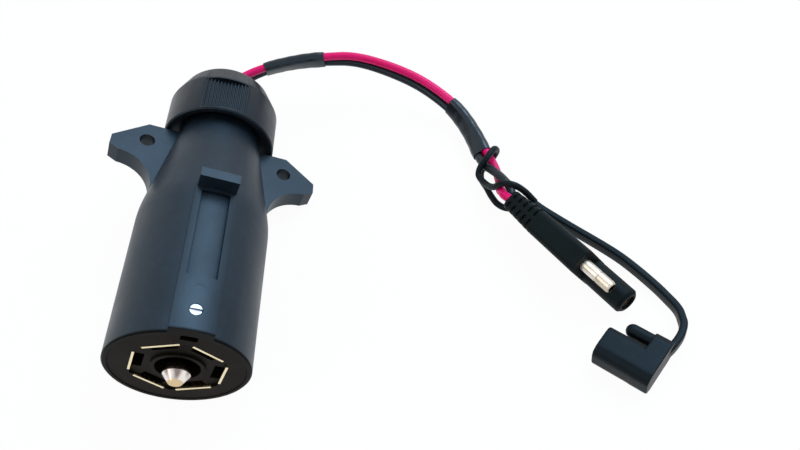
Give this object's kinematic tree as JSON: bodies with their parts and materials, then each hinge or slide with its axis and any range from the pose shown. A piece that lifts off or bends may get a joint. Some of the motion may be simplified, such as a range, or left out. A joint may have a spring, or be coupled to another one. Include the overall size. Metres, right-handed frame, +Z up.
{
  "type": "trailer wiring connector",
  "caption": "Keyed round trailer plug with blade contacts, ears and a gland nut; its wire pigtail ends in a small flat lead connector with a tethered cap.",
  "frame": {"origin": "centre of the mating face, on the plug's axis", "axes": "-Y out of the mating face, +Y along the plug to its gland nut, +Z up; the part lies on the plane z = -22.5 mm, rolled 31.5 degrees about Y on to its right ear"},
  "size_m": [0.1896, 0.152, 0.0508],
  "materials": {
    "housing_plastic": "satin moulded black",
    "insert_plastic": "matt dark brown-black",
    "contact_brass": "bright rolled strip",
    "pin_nickel": "turned and nickel plated",
    "screw_steel": "zinc plated",
    "lug_brass": "tinned strip",
    "grommet_rubber": "matt",
    "ring_plastic": "matt",
    "nut_plastic": "satin moulded black",
    "red_insulation": "satin",
    "black_insulation": "satin",
    "shrink_sleeve": "gloss",
    "lead_rubber": "matt",
    "lead_contact": "turned, pale",
    "cap_rubber": "matt"
  },
  "bodies": {
    "plug": {"housing_shell": "housing_plastic", "contact_insert": "insert_plastic", "blade_1": "contact_brass", "blade_2": "contact_brass", "blade_3": "contact_brass", "blade_4": "contact_brass", "blade_5": "contact_brass", "blade_6": "contact_brass", "centre_pin": "pin_nickel", "terminal_screws": "screw_steel", "ring_lugs": "lug_brass", "clamp_washers": "screw_steel", "retaining_screw": "screw_steel", "square_nut": "screw_steel", "wire_grommet": "grommet_rubber", "red_lead": "red_insulation", "black_lead": "black_insulation", "red_wire": "red_insulation", "black_wire": "black_insulation", "front_sleeve": "shrink_sleeve", "rear_sleeve": "shrink_sleeve", "lead_moulding": "lead_rubber", "lead_pin": "lead_contact", "lead_socket": "lead_contact", "dust_cap": "cap_rubber", "cap_tether": "cap_rubber", "tether_loop": "cap_rubber"},
    "slip_ring": {"slip_ring": "ring_plastic"},
    "gland_nut": {"gland_nut": "nut_plastic"}
  },
  "joints": [
    {"name": "nut_travel", "type": "slide", "parent": "plug", "child": "slip_ring", "axis": [0, 1, 0], "range_m": [0, 0.006]},
    {"name": "nut_turn", "type": "hinge", "parent": "slip_ring", "child": "gland_nut", "pos_m": [0, 0.1, 0], "axis": [0, 1, 0], "range_deg": [0, 720]}
  ],
  "couplings": [
    {"joint": "nut_travel", "follows": "nut_turn", "m_per_rad": 0.00047746}
  ]
}
